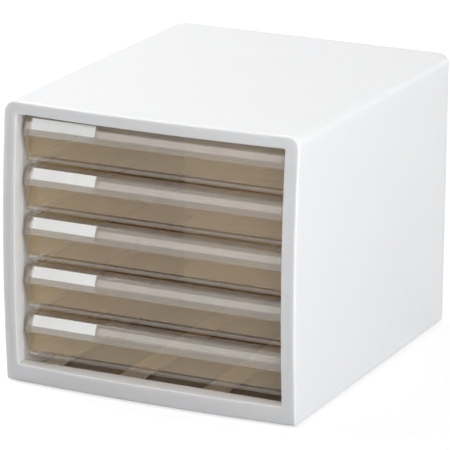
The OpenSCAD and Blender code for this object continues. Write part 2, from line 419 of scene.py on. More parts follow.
class Nodes:
    """A node tree, with short calls for its nodes and links."""

    def __init__(self, tree: bpy.types.NodeTree) -> None:
        """Start work on a tree."""
        self.tree = tree

    def link(self, source: bpy.types.NodeSocket, target: bpy.types.NodeSocket) -> None:
        """Join two sockets."""
        self.tree.links.new(source, target)

    def node(
        self, kind: str, inputs: dict[str | int, object] | None = None, **settings: object
    ) -> bpy.types.Node:
        """Add a node.

        Args:
            kind: Class of the node.
            inputs: For some of its inputs, the socket that feeds it or its own value.
            settings: Properties of the node.

        Returns:
            The new node.
        """
        made = self.tree.nodes.new(kind)
        for key, value in settings.items():
            setattr(made, key, value)
        for key, value in (inputs or {}).items():
            if isinstance(value, bpy.types.NodeSocket):
                self.link(value, made.inputs[key])
            else:
                made.inputs[key].default_value = value
        return made

    def value(
        self, operation: str, first: object, second: object = 0.0
    ) -> bpy.types.NodeSocket:
        """Work out a number from one or two others."""
        inputs = {0: first, 1: second}
        return self.node("ShaderNodeMath", inputs, operation=operation).outputs["Value"]

    def spread(
        self, source: bpy.types.NodeSocket, span: Point2, low: float, high: float
    ) -> bpy.types.NodeSocket:
        """Map a span of numbers to a range.

        Args:
            source: The number.
            span: Its values at the range's ends.
            low: Result at the span's start.
            high: Result at its end.

        Returns:
            The result.
        """
        inputs = {
            "Value": source,
            "From Min": span[0],
            "From Max": span[1],
            "To Min": low,
            "To Max": high,
        }
        return self.node("ShaderNodeMapRange", inputs).outputs["Result"]


class Shade(Nodes):
    """A material's node tree, with short calls for the nodes that the finishes share."""

    noise_span = (0.3, 0.7)
    tint_span = (0.32, 0.68)

    def __init__(self, name: str) -> None:
        """Start a material of one Principled shader on the object's own coordinates.

        Args:
            name: Name of the material.
        """
        self.material = bpy.data.materials.new(name)
        self.material.use_nodes = True
        super().__init__(self.material.node_tree)
        self.shader = self.tree.nodes["Principled BSDF"]
        self.place = self.node("ShaderNodeTexCoord").outputs["Object"]

    def set(self, name: str, value: object) -> None:
        """Set one of the shader's own values."""
        self.shader.inputs[name].default_value = value

    def noise(
        self, scale: float, detail: float = 3.0, stretch: Sequence[float] = (1, 1, 1)
    ) -> bpy.types.NodeSocket:
        """Add noise.

        Args:
            scale: Scale in waves per metre.
            detail: Octaves.
            stretch: Factors on the coordinates, to draw the noise out along an axis.

        Returns:
            The noise's factor.
        """
        turn = self.node("ShaderNodeMapping", {"Vector": self.place, "Scale": stretch})
        inputs = {"Vector": turn.outputs["Vector"], "Scale": scale, "Detail": detail}
        return self.node("ShaderNodeTexNoise", inputs).outputs["Fac"]

    def colour(self, source: bpy.types.NodeSocket, first: Tint, second: Tint) -> None:
        """Colour the shader by a noise.

        Args:
            source: The noise.
            first: Tint where it is low.
            second: Tint where it is high.
        """
        ramp = self.node("ShaderNodeValToRGB", {"Fac": source})
        for stop, position, tint in zip(
            ramp.color_ramp.elements, self.tint_span, (first, second)
        ):
            stop.position = position
            stop.color = tint
        self.link(ramp.outputs["Color"], self.shader.inputs["Base Color"])

    def roughness(self, source: bpy.types.NodeSocket, low: float, high: float) -> None:
        """Vary the shader's roughness by the middle of a noise."""
        rough = self.spread(source, self.noise_span, low, high)
        self.link(rough, self.shader.inputs["Roughness"])

    def bump(self, source: bpy.types.NodeSocket, depth: float, strength: float) -> None:
        """Raise the surface by a noise.

        Args:
            source: The noise.
            depth: Height in metres.
            strength: Share of the bump that shows.
        """
        inputs = {"Height": source, "Distance": depth, "Strength": strength}
        node = self.node("ShaderNodeBump", inputs)
        self.link(node.outputs["Normal"], self.shader.inputs["Normal"])


@dataclass(frozen=True)
class MouldedFinish:
    """Opaque moulded plastic: a faint cloudiness, satin gloss and a fine moulded grain.

    Scales are in waves per metre and depths in metres.
    """

    name: str
    light: Tint
    dark: Tint
    gloss_low: float
    gloss_high: float
    grain: float = 1900.0
    grain_depth: float = 0.00002
    grain_share: float = 0.35
    cloud: float = 9.0
    gloss_scale: float = 38.0
    ior: float = 1.49
    glow_depth: float = 0.0
    glow_reach: Point3 = (1.0, 0.93, 0.86)

    def build(self) -> bpy.types.Material:
        """Make the material.

        Returns:
            The material. Light sinks into it where it has a glow depth.
        """
        shade = Shade(self.name)
        shade.colour(shade.noise(self.cloud, detail=4.0), self.dark, self.light)
        gloss = shade.noise(self.gloss_scale, detail=3.0)
        shade.roughness(gloss, self.gloss_low, self.gloss_high)
        shade.bump(shade.noise(self.grain, detail=2.0), self.grain_depth, self.grain_share)
        shade.set("IOR", self.ior)
        if self.glow_depth > 0:
            shade.set("Subsurface Weight", 1.0)
            shade.set("Subsurface Radius", self.glow_reach)
            shade.set("Subsurface Scale", self.glow_depth)
        return shade.material


@dataclass(frozen=True)
class ClearFinish:
    """Clear moulded plastic: a tinted see-through film under a thin glossy body colour.

    Light passes two faces of this finish on its way through a wall.
    """

    name: str
    light: Tint
    dark: Tint
    tint: Tint
    body: float
    ior: float
    gloss_low: float = 0.10
    gloss_high: float = 0.15
    gloss_scale: float = 60.0
    flow: float = 16.0
    flow_stretch: Point3 = (1.0, 1.0, 2.5)
    wave: float = 26.0
    wave_depth: float = 0.00006
    wave_share: float = 0.25

    def build(self) -> bpy.types.Material:
        """Make the material.

        Returns:
            The material.
        """
        shade = Shade(self.name)
        flow = shade.noise(self.flow, detail=3.0, stretch=self.flow_stretch)
        shade.colour(flow, self.dark, self.light)
        gloss = shade.noise(self.gloss_scale, detail=2.0)
        shade.roughness(gloss, self.gloss_low, self.gloss_high)
        shade.bump(shade.noise(self.wave, detail=1.0), self.wave_depth, self.wave_share)
        shade.set("IOR", self.ior)
        film = shade.node("ShaderNodeBsdfTransparent", {"Color": self.tint})
        inputs = {
            "Fac": self.body,
            1: film.outputs["BSDF"],
            2: shade.shader.outputs["BSDF"],
        }
        both = shade.node("ShaderNodeMixShader", inputs)
        out = shade.tree.nodes["Material Output"]
        shade.link(both.outputs["Shader"], out.inputs["Surface"])
        return shade.material


@dataclass(frozen=True)
class PaperFinish:
    """Plain white card with fine fibres."""

    name: str = "label_card_paper"
    light: Tint = (0.94, 0.94, 0.95, 1)
    dark: Tint = (0.90, 0.90, 0.91, 1)
    cloud: float = 150.0
    gloss_scale: float = 700.0
    fibre: float = 2600.0
    fibre_stretch: Point3 = (1.0, 1.0, 0.4)
    fibre_depth: float = 0.00003
    fibre_share: float = 0.5
    gloss_low: float = 0.72
    gloss_high: float = 0.86

    def build(self) -> bpy.types.Material:
        """Make the material.

        Returns:
            The material.
        """
        shade = Shade(self.name)
        shade.colour(shade.noise(self.cloud, detail=5.0), self.dark, self.light)
        gloss = shade.noise(self.gloss_scale, detail=3.0)
        shade.roughness(gloss, self.gloss_low, self.gloss_high)
        fibres = shade.noise(self.fibre, detail=3.0, stretch=self.fibre_stretch)
        shade.bump(fibres, self.fibre_depth, self.fibre_share)
        return shade.material


@dataclass
class Finishes:
    """All the finishes of the tower."""

    casing: bpy.types.Material = field(init=False)
    cover: bpy.types.Material = field(init=False)
    base: bpy.types.Material = field(init=False)
    runner: bpy.types.Material = field(init=False)
    smoke: bpy.types.Material = field(init=False)
    smoke_tray: bpy.types.Material = field(init=False)
    smoke_painted_light_panel: bpy.types.Material = field(init=False)
    smoke_painted_dark_edge: bpy.types.Material = field(init=False)
    window: bpy.types.Material = field(init=False)
    paper: bpy.types.Material = field(init=False)
    rubber: bpy.types.Material = field(init=False)

    def __post_init__(self) -> None:
        """Make the materials."""
        satin = MouldedFinish(
            "casing_white_satin",
            light=(0.935, 0.932, 0.95, 1),
            dark=(0.915, 0.912, 0.932, 1),
            gloss_low=0.36,
            gloss_high=0.44,
            glow_depth=0.005,
        )
        self.casing = satin.build()
        self.cover = replace(satin, name="back_cover_white", glow_depth=0.006).build()
        matt = MouldedFinish(
            "base_plate_white",
            light=(0.93, 0.92, 0.91, 1),
            dark=(0.91, 0.90, 0.89, 1),
            gloss_low=0.45,
            gloss_high=0.55,
            glow_depth=0.004,
        )
        self.base = matt.build()
        self.runner = replace(
            matt,
            name="runner_white",
            light=(0.95, 0.945, 0.94, 1),
            dark=(0.935, 0.93, 0.925, 1),
            glow_depth=0.012,
        ).build()
        self.smoke = ClearFinish(
            "drawer_smoke_clear",
            light=(0.50, 0.50, 0.50, 1),
            dark=(0.47, 0.47, 0.47, 1),
            tint=(0.98, 0.97, 0.95, 1),
            body=0.18,
            ior=3.8,
        ).build()
        self.smoke_tray = ClearFinish(
            "drawer_smoke_tray",
            light=(0.94, 0.79, 0.53, 1),
            dark=(0.90, 0.75, 0.49, 1),
            tint=(0.995, 0.968, 0.918, 1),
            body=0.16,
            ior=3.2,
        ).build()
        # A lighter, warmer copy of the drawer plastic for the panel: painted light on the wall
        # shaded under the lip.
        self.smoke_painted_light_panel = ClearFinish(
            "drawer_smoke_painted_light_panel",
            light=(0.68, 0.56, 0.37, 1),
            dark=(0.64, 0.52, 0.33, 1),
            tint=(0.965, 0.925, 0.84, 1),
            body=0.26,
            ior=2.4,
        ).build()
        # A darker copy of the drawer plastic: painted dark edge lines, which clear plastic
        # shows by refraction.
        self.smoke_painted_dark_edge = ClearFinish(
            "drawer_smoke_painted_dark_edge",
            light=(0.60, 0.48, 0.31, 1),
            dark=(0.56, 0.44, 0.28, 1),
            tint=(0.91, 0.85, 0.75, 1),
            body=0.32,
            ior=2.1,
        ).build()
        self.window = ClearFinish(
            "label_window_clear",
            light=(0.80, 0.81, 0.79, 1),
            dark=(0.76, 0.77, 0.75, 1),
            tint=(0.99, 0.992, 0.985, 1),
            body=0.12,
            ior=4.5,
        ).build()
        self.paper = PaperFinish().build()
        self.rubber = MouldedFinish(
            "foot_rubber",
            light=(0.11, 0.11, 0.11, 1),
            dark=(0.08, 0.08, 0.08, 1),
            gloss_low=0.7,
            gloss_high=0.85,
            grain=900.0,
            grain_depth=0.00005,
        ).build()


# ---------------------------------------------------------------- casing


@dataclass(frozen=True)
class Casing:
    """Sizes of the casing, in millimetres, and its bowed front."""

    half_w: float = 135.0
    low: float = 1.5
    high: float = 247.0
    depth: float = 321.0
    wall: float = 2.6
    half_open: float = 122.5
    open_low: float = 17.5
    open_high: float = 236.0
    open_r: float = 1.5
    return_d: float = 10.0
    top_r: float = 10.0
    bottom_r: float = 2.0
    least_r: float = 0.3
    back_r: float = 4.5
    cover_t: float = 3.2
    bow_across: float = 5.5
    bow_upright: float = 5.8

    @property
    def cover_y(self) -> float:
        """Depth at which the shell ends and the back cover begins."""
        return self.depth - self.cover_t

    @property
    def half_in(self) -> float:
        """Half width between the casing's sides."""
        return self.half_w - self.wall

    def front_y(self, x: float, z: float) -> float:
        """Give the depth of the bowed front at a place in the front view.

        Args:
            x: Distance from the middle.
            z: Height.

        Returns:
            The depth, which is negative in front of the corners' plane.
        """
        half_h = (self.high - self.low) / 2
        ring = (self.half_w**2 + self.bow_across**2) / (2 * self.bow_across)
        arch = (half_h**2 + self.bow_upright**2) / (2 * self.bow_upright)
        rise = math.sqrt(arch**2 - (z - self.low - half_h) ** 2) - arch + self.bow_upright
        return ring - self.bow_across - math.sqrt((ring + rise) ** 2 - x**2)

    def outer(self, plan: RingPlan, inset: float) -> list[Point2]:
        """Outline of the casing in the front view.

        Args:
            plan: How its points are spread.
            inset: Distance to move it inwards.

        Returns:
            Its points.
        """
        return plan.ring(
            self.half_w - inset,
            self.low + inset,
            self.high - inset,
            max(self.bottom_r - inset, self.least_r),
            self.top_r - inset,
        )

    def opening(self, plan: RingPlan, grow: float) -> list[Point2]:
        """Outline of the opening in the front view.

        Args:
            plan: How its points are spread.
            grow: Distance to move it outwards.

        Returns:
            Its points.
        """
        radius = self.open_r + grow
        return plan.ring(
            self.half_open + grow, self.open_low - grow, self.open_high + grow, radius, radius
        )


@dataclass
class CasingShell:
    """Top, sides and front frame in one white moulding."""

    casing: Casing
    edge_r: float = 1.7
    edge_steps: int = 7
    lip_r: float = 1.1
    lip_steps: int = 5
    seam: float = 0.35
    seam_in: float = 0.2
    seam_round: float = 0.12
    base_room: float = 5.0
    base_gap: float = 0.05
    cut_low: float = -1.0
    rear_step: float = 1.4
    mouth_r: float = 0.5
    mouth_steps: int = 3
    skin_r: float = 0.3
    frame_rings: tuple[float, ...] = (0.25, 0.5, 0.75)

    def stations(self) -> list[list[Point3]]:
        """Loops of the shell.

        Returns:
            Loops of points, from its rear rim over the front and back along its inside.
        """
        case = self.casing
        plan = RingPlan()

        def level(ring: list[Point2], y: float) -> list[Point3]:
            """Put a ring at one depth."""
            return [(x, y, z) for x, z in ring]

        def bowed(ring: list[Point2], behind: float) -> list[Point3]:
            """Put a ring behind the bowed front."""
            return [(x, case.front_y(x, z) + behind, z) for x, z in ring]

        rear = case.cover_y
        loops = [
            level(case.outer(plan, self.seam + self.seam_in), rear),
            level(case.outer(plan, self.seam_round), rear - self.seam),
            level(case.outer(plan, 0.0), rear - self.rear_step),
        ]
        for inset, rest in quarter(self.edge_r, self.edge_steps):
            loops.append(bowed(case.outer(plan, inset), rest))
        edge = case.outer(plan, self.edge_r)
        mouth = case.opening(plan, self.lip_r)
        for share in self.frame_rings:
            ring = [between(a, b, share) for a, b in zip(edge, mouth)]
            loops.append(bowed(ring, 0.0))
        for inset, rest in quarter(self.lip_r, self.lip_steps):
            loops.append(bowed(case.opening(plan, rest), inset))
        mouth_round = quarter(self.mouth_r, self.mouth_steps)
        for inset, rest in mouth_round:
            loops.append(level(case.opening(plan, inset), case.return_d - rest))
        for inset, rest in reversed(mouth_round):
            loops.append(level(case.opening(plan, case.wall - inset), case.return_d - rest))
        loops.append(bowed(case.opening(plan, case.wall), case.wall))
        skin = plan.ring(
            case.half_in,
            case.low + case.wall,
            case.high - case.wall,
            self.skin_r,
            case.top_r - case.wall,
        )
        loops.append(bowed(skin, case.wall))
        loops.append(level(skin, rear))
        return loops

    def base_cutter(self) -> bpy.types.Object:
        """Make the block that opens the shell's underside behind the sill."""
        span = (self.cut_low, self.base_room)
        return base_outline(self.casing, self.base_gap, *span, "base_cutter")

    def build(self, finishes: Finishes) -> bpy.types.Object:
        """Make the shell and put it on its body.

        Args:
            finishes: The tower's finishes.

        Returns:
            The shell.
        """
        draft = Draft()
        draft.loft(self.stations(), capped=False)
        shell = draft.object("casing_body", finishes.casing)
        combined(shell, self.base_cutter(), Cut.TAKE_AWAY)
        smoothed(shell)
        placed(shell)
        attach(shell, "casing")
        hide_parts("casing_shell")
        return shell


def base_outline(
    case: Casing, inset: float, low: float, high: float, name: str, steps: int = 48
) -> bpy.types.Object:
    """Make the block between the casing's sides and behind its sill.

    Args:
        case: The casing.
        inset: Clearance at the sides and the front.
        low: Lowest height.
        high: Highest height.
        name: Name of the object.
        steps: Segments along its bowed front.

    Returns:
        The new object.
    """
    half = case.half_in - inset
    draft = Draft()
    stations = []
    for z in (low, high):
        loop = []
        for step in range(steps + 1):
            x = -half + 2 * half * step / steps
            loop.append((x, case.front_y(x, max(z, case.low)) + case.wall + inset, z))
        loop.append((half, case.cover_y, z))
        loop.append((-half, case.cover_y, z))
        stations.append(loop)
    draft.loft(stations, capped=True)
    return draft.object(name)


@dataclass
class BackCover:
    """Rear plate of the casing with the tabs that locate it."""

    casing: Casing
    seam: float = 0.35
    seam_in: float = 0.2
    seam_round: float = 0.28
    tab_d: float = 4.0
    tab_t: float = 2.0
    tab_end: float = 28.0
    tab_r: float = 0.5
    tab_root: float = 1.0
    gap: float = 0.2
    start: float = 0.42
    steps: int = 8

    def build(self, finishes: Finishes) -> bpy.types.Object:
        """Make the cover and put it on its body.

        Args:
            finishes: The tower's finishes.

        Returns:
            The cover.
        """
        case = self.casing
        plan = RingPlan(across=2, along=2)
        levels = [
            (self.seam + self.seam_in, case.cover_y),
            (self.seam_round, case.cover_y + self.seam),
        ]
        for step in range(self.steps + 1):
            angle = self.start + (math.pi / 2 - self.start) * step / self.steps
            y = case.depth - case.back_r * (1 - math.sin(angle))
            levels.append((case.back_r * (1 - math.cos(angle)), y))
        stations = [[(x, y, z) for x, z in case.outer(plan, inset)] for inset, y in levels]
        draft = Draft()
        draft.loft(stations, capped=True)
        cover = draft.object("rear_cover", finishes.cover)
        face = case.half_in - self.gap
        front = case.cover_y - self.tab_d
        back = case.cover_y + self.tab_root
        low = case.open_low + self.tab_end
        high = case.open_high - self.tab_end
        top = case.high - case.wall - self.gap
        reach = case.half_open - self.tab_end
        tabs = [
            ((-face, front, low), (-face + self.tab_t, back, high)),
            ((face - self.tab_t, front, low), (face, back, high)),
            ((-reach, front, top - self.tab_t), (reach, back, top)),
        ]
        for low_corner, high_corner in tabs:
            tab = Draft()
            tab.box(low_corner, high_corner, self.tab_r)
            combined(cover, tab.object("cover_tab"), Cut.JOIN)
        smoothed(cover)
        placed(cover)
        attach(cover, "casing")
        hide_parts("back_cover")
        return cover


# ---------------------------------------------------------------- what repeats


class GrowthTree(Nodes):
    """A Geometry Nodes tree that works on an object's own mesh."""

    def __init__(self, name: str, material: bpy.types.Material) -> None:
        """Start a tree.

        Args:
            name: Name of the tree.
            material: Material of its result.
        """
        super().__init__(bpy.data.node_groups.new(name, "GeometryNodeTree"))
        self.values: dict[str, object] = {}
        self.material = material
        face = self.tree.interface
        face.new_socket("Geometry", in_out="INPUT", socket_type="NodeSocketGeometry")
        face.new_socket("Geometry", in_out="OUTPUT", socket_type="NodeSocketGeometry")
        self.entry = self.tree.nodes.new("NodeGroupInput")
        self.exit = self.tree.nodes.new("NodeGroupOutput")

    def size(self, name: str, kind: str, value: object) -> bpy.types.NodeSocket:
        """Add a named input with the value that the modifier gives it.

        Args:
            name: Name of the input.
            kind: Class of its socket.
            value: Its value.

        Returns:
            The input's socket inside the tree.
        """
        self.tree.interface.new_socket(name, in_out="INPUT", socket_type=kind)
        self.values[name] = value
        return self.entry.outputs[name]

    def row(
        self,
        piece: bpy.types.NodeSocket,
        count: bpy.types.NodeSocket,
        start: bpy.types.NodeSocket,
        pitch: bpy.types.NodeSocket,
    ) -> bpy.types.NodeSocket:
        """Repeat a piece along a line.

        Args:
            piece: Its geometry.
            count: How many there are.
            start: Place of the first.
            pitch: Step from each to the next.

        Returns:
            The real meshes of all of them.
        """
        line = self.node(
            "GeometryNodeMeshLine",
            {"Count": count, "Start Location": start, "Offset": pitch},
            mode="OFFSET",
        )
        return self.real(self.spots(line.outputs["Mesh"], piece))

    def spots(
        self, points: bpy.types.NodeSocket, piece: bpy.types.NodeSocket
    ) -> bpy.types.NodeSocket:
        """Put an instance of a piece on each point."""
        inputs = {"Points": points, "Instance": piece}
        return self.node("GeometryNodeInstanceOnPoints", inputs).outputs["Instances"]

    def real(self, geometry: bpy.types.NodeSocket) -> bpy.types.NodeSocket:
        """Make instances real."""
        inputs = {"Geometry": geometry}
        return self.node("GeometryNodeRealizeInstances", inputs).outputs["Geometry"]

    def end(self, geometry: bpy.types.NodeSocket) -> None:
        """Make the instances real, set the material and finish the tree.

        Args:
            geometry: What the tree made.
        """
        inputs = {"Geometry": self.real(geometry), "Material": self.material}
        dress = self.node("GeometryNodeSetMaterial", inputs)
        self.link(dress.outputs["Geometry"], self.exit.inputs["Geometry"])

    def grow(self, obj: bpy.types.Object) -> None:
        """Run the tree on an object and keep the result as its plain mesh.

        Args:
            obj: The object.
        """
        step = obj.modifiers.new(self.tree.name, "NODES")
        step.node_group = self.tree
        for item in self.tree.interface.items_tree:
            if item.item_type == "SOCKET" and item.in_out == "INPUT":
                if item.name in self.values:
                    step[item.identifier] = self.values[item.name]
        baked(obj)


@dataclass
class BaseGrid:
    """Base plate of the casing with its row of long slots."""

    casing: Casing
    thick: float = 3.5
    slots: int = 3
    slot_w: float = 58.0
    pitch: float = 78.5
    margin: float = 28.0
    slot_r: float = 3.0
    bend_steps: int = 6
    cut_below: float = 5.0
    cut_deep: float = 20.0
    edge: float = 0.5
    gap: float = 0.06

    def tree(self, finishes: Finishes) -> GrowthTree:
        """Tree that takes a row of rounded slots out of the plate.

        Args:
            finishes: The tower's finishes.

        Returns:
            The tree.
        """
        grow = GrowthTree("slot_row", finishes.base)
        rear = self.casing.cover_y
        first = (-(self.slots - 1) / 2 * self.pitch, rear / 2, -self.cut_below)
        count = grow.size("Slot count", "NodeSocketInt", self.slots)
        pitch = grow.size("Slot pitch", "NodeSocketVector", (self.pitch, 0.0, 0.0))
        start = grow.size("First slot", "NodeSocketVector", first)
        width = grow.size("Slot width", "NodeSocketFloat", self.slot_w)
        length = grow.size("Slot length", "NodeSocketFloat", rear - 2 * self.margin)
        radius = grow.size("Slot radius", "NodeSocketFloat", self.slot_r)
        deep = grow.size("Cut depth", "NodeSocketFloat", self.cut_deep)
        outline = grow.node(
            "GeometryNodeCurvePrimitiveQuadrilateral", {"Width": width, "Height": length}
        ).outputs["Curve"]
        bend = grow.node(
            "GeometryNodeFilletCurve",
            {"Curve": outline, "Radius": radius, "Count": self.bend_steps},
            mode="POLY",
        ).outputs["Curve"]
        fill = grow.node("GeometryNodeFillCurve", {"Curve": bend}, mode="NGONS")
        floor = fill.outputs["Mesh"]
        rise = grow.node(
            "GeometryNodeExtrudeMesh", {"Mesh": floor, "Offset Scale": deep}, mode="FACES"
        )
        flip = grow.node("GeometryNodeFlipFaces", {"Mesh": floor})
        join = grow.node("GeometryNodeJoinGeometry", {"Geometry": rise.outputs["Mesh"]})
        grow.link(flip.outputs["Mesh"], join.inputs["Geometry"])
        weld = grow.node("GeometryNodeMergeByDistance", {"Geometry": join.outputs["Geometry"]})
        cut = grow.node(
            "GeometryNodeMeshBoolean",
            {
                "Mesh 1": grow.entry.outputs["Geometry"],
                "Mesh 2": grow.row(weld.outputs["Geometry"], count, start, pitch),
            },
            operation="DIFFERENCE",
            solver="EXACT",
        )
        grow.end(cut.outputs["Mesh"])
        return grow

    def build(self, finishes: Finishes) -> bpy.types.Object:
        """Make the plate and put it on its body.

        Args:
            finishes: The tower's finishes.

        Returns:
            The plate.
        """
        case = self.casing
        plate = base_outline(case, self.gap, case.low, case.low + self.thick, "base_plate")
        plate.data.materials.append(finishes.base)
        self.tree(finishes).grow(plate)
        edge_softened(plate, self.edge)
        smoothed(plate)
        placed(plate)
        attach(plate, "casing")
        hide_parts("base_grid")
        return plate


def edge_softened(obj: bpy.types.Object, width: float, angle: float = 40.0) -> None:
    """Round an object's sharp edges.

    Args:
        obj: The object, in millimetres.
        width: Width of the rounding.
        angle: Angle in degrees from which an edge is rounded.
    """
    bm = bmesh.new()
    bm.from_mesh(obj.data)
    bmesh.ops.remove_doubles(bm, verts=bm.verts, dist=MESH_WELD)
    bmesh.ops.dissolve_limit(
        bm,
        angle_limit=math.radians(FLAT_ANGLE),
        verts=bm.verts,
        edges=bm.edges,
        delimit={"NORMAL"},
    )
    bm.to_mesh(obj.data)
    bm.free()
    step = obj.modifiers.new("edges", "BEVEL")
    step.width = width
    step.segments = 2
    step.limit_method = "ANGLE"
    step.angle_limit = math.radians(angle)
    step.use_clamp_overlap = True
    baked(obj)


@dataclass
class RunnerPanel:
    """Runner panel with a ledge under each tray and a stop tab under each ledge but one."""

    casing: Casing
    side: Side
    thick: float = 2.6
    front: float = 10.0
    low: float = 5.0
    high: float = 244.2
    ledges: int = 6
    pitch: float = 43.0
    first_ledge: float = 20.5
    ledge_t: float = 2.0
    ledge_w: float = 9.0
    ledge_y: float = 16.3
    stop_y: float = 24.3
    stop_l: float = 4.0
    stop_h: float = 6.0
    stop_w: float = 4.0
    gap: float = 0.1
    sink: float = 0.5
    edge: float = 0.35

    def tree(self, finishes: Finishes) -> GrowthTree:
        """Tree that stacks ledges and stop tabs on the panel.

        Args:
            finishes: The tower's finishes.

        Returns:
            The tree.
        """
        grow = GrowthTree(f"ledge_stack_{self.side.name.lower()}", finishes.runner)
        sign = self.side.value
        sink = self.sink
        rear = self.casing.cover_y - self.gap
        ledge_size = (self.ledge_w + sink, rear - self.ledge_y, self.ledge_t)
        ledge_x = sign * (self.casing.half_open - self.ledge_w / 2 + sink / 2)
        ledge_z = self.first_ledge + self.ledge_t / 2
        stop_size = (self.stop_w + sink, self.stop_l, self.stop_h + sink)
        stop_x = sign * (self.casing.half_open - self.stop_w / 2 + sink / 2)
        stop_z = self.first_ledge + self.pitch - self.stop_h / 2 + sink / 2
        stacks = (
            ("Ledge", self.ledges, ledge_size, (ledge_x, (self.ledge_y + rear) / 2, ledge_z)),
            (
                "Stop tab",
                self.ledges - 1,
                stop_size,
                (stop_x, self.stop_y + self.stop_l / 2, stop_z),
            ),
        )
        pitch = grow.size("Pitch", "NodeSocketVector", (0.0, 0.0, self.pitch))
        inputs = {"Mesh 2": grow.entry.outputs["Geometry"]}
        fuse = grow.node("GeometryNodeMeshBoolean", inputs, operation="UNION", solver="EXACT")
        for name, number, size, start in stacks:
            count = grow.size(f"{name} count", "NodeSocketInt", number)
            measure = grow.size(f"{name} size", "NodeSocketVector", size)
            first = grow.size(f"First {name.lower()}", "NodeSocketVector", start)
            piece = grow.node("GeometryNodeMeshCube", {"Size": measure}).outputs["Mesh"]
            grow.link(grow.row(piece, count, first, pitch), fuse.inputs["Mesh 2"])
        grow.end(fuse.outputs["Mesh"])
        return grow

    def build(self, finishes: Finishes) -> bpy.types.Object:
        """Make the panel and put it on its body.

        Args:
            finishes: The tower's finishes.

        Returns:
            The panel.
        """
        name = self.side.name.lower()
        near = self.side.value * self.casing.half_open
        far = self.side.value * (self.casing.half_open + self.thick)
        rear = self.casing.cover_y - self.gap
        draft = Draft()
        outline = [
            (self.front, self.low),
            (rear, self.low),
            (rear, self.high),
            (self.front, self.high),
        ]
        draft.loft([[(x, y, z) for y, z in outline] for x in (near, far)], capped=True)
        panel = draft.object(f"ledge_panel_{name}", finishes.runner)
        self.tree(finishes).grow(panel)
        edge_softened(panel, self.edge)
        smoothed(panel)
        placed(panel)
        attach(panel, "casing")
        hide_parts(f"runner_panel_{name}")
        return panel


@dataclass
class FootPads:
    """Four thin round pads under the corners of the base."""

    radius: float = 6.0
    height: float = 1.5
    span: Point2 = (240.0, 285.0)
    middle_y: float = 160.5
    core: float = 3.0
    edge: float = 0.5
    edge_steps: int = 4
    turns: int = 48

    def pad(self) -> Draft:
        """Make one pad.

        Returns:
            The pad, turned round its own axis.
        """
        profile = [(self.core, 0.0)]
        profile += [(self.radius - self.edge + x, z) for x, z in self.round_edge()]
        profile += [(self.radius, self.height)]
        draft = Draft()
        stations = []
        for radius, z in profile:
            loop = []
            for turn in range(self.turns):
                angle = 2 * math.pi * turn / self.turns
                loop.append((radius * math.cos(angle), radius * math.sin(angle), z))
            stations.append(loop)
        draft.loft(stations, capped=True)
        return draft

    def round_edge(self) -> list[Point2]:
        """Quarter round at the pad's foot."""
        pairs = reversed(quarter(self.edge, self.edge_steps))
        return [(self.edge - inset, rise) for inset, rise in pairs]

    def build(self, finishes: Finishes) -> bpy.types.Object:
        """Make the pads and put them on their body.

        Args:
            finishes: The tower's finishes.

        Returns:
            The pads, as one object.
        """
        pads = self.pad().object("foot_pads", finishes.rubber)
        grow = GrowthTree("four_pads", finishes.rubber)
        width = grow.size("Span across", "NodeSocketFloat", self.span[0])
        depth = grow.size("Span along", "NodeSocketFloat", self.span[1])
        middle = grow.size("Middle", "NodeSocketVector", (0.0, self.middle_y, 0.0))
        inputs = {"Vertices X": 2, "Vertices Y": 2, "Size X": width, "Size Y": depth}
        grid = grow.node("GeometryNodeMeshGrid", inputs)
        inputs = {"Geometry": grid.outputs["Mesh"], "Translation": middle}
        spots = grow.node("GeometryNodeTransform", inputs).outputs["Geometry"]
        grow.end(grow.spots(spots, grow.entry.outputs["Geometry"]))
        grow.grow(pads)
        smoothed(pads)
        placed(pads)
        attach(pads, "casing")
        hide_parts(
            "foot_front_left", "foot_front_right", "foot_rear_left", "foot_rear_right"
        )
        return pads


# ---------------------------------------------------------------- drawers


@dataclass(frozen=True)
class LipLine:
    """The pull lip in the side view: crown, facet and band between four corners."""

    corners: tuple[Point2, ...] = ((14.0, 40.0), (8.0, 38.4), (4.1, 28.9), (3.0, 23.0))

    def along(self, index: int) -> Vector:
        """Direction of one run."""
        return (Vector(self.corners[index + 1]) - Vector(self.corners[index])).normalized()

    def out(self, index: int) -> Vector:
        """Direction out of the face of one run."""
        run = self.along(index)
        return Vector((run.y, -run.x))

    def length(self, index: int) -> float:
        """Length of one run."""
        return (Vector(self.corners[index + 1]) - Vector(self.corners[index])).length

    def at(self, index: int, far: float, off: float) -> Point2:
        """Point at a distance along one run and out of its face."""
        point = Vector(self.corners[index]) + far * self.along(index) + off * self.out(index)
        return (point.x, point.y)

    def mitre(self, index: int, off: float) -> Point2:
        """Corner of the lip's line when it is moved out of its face.

        Args:
            index: Number of the corner.
            off: Distance to move it.

        Returns:
            The corner's new place.
        """
        before, after = self.out(index - 1), self.out(index)
        point = Vector(self.corners[index]) + off * (before + after) / (1 + before.dot(after))
        return (point.x, point.y)


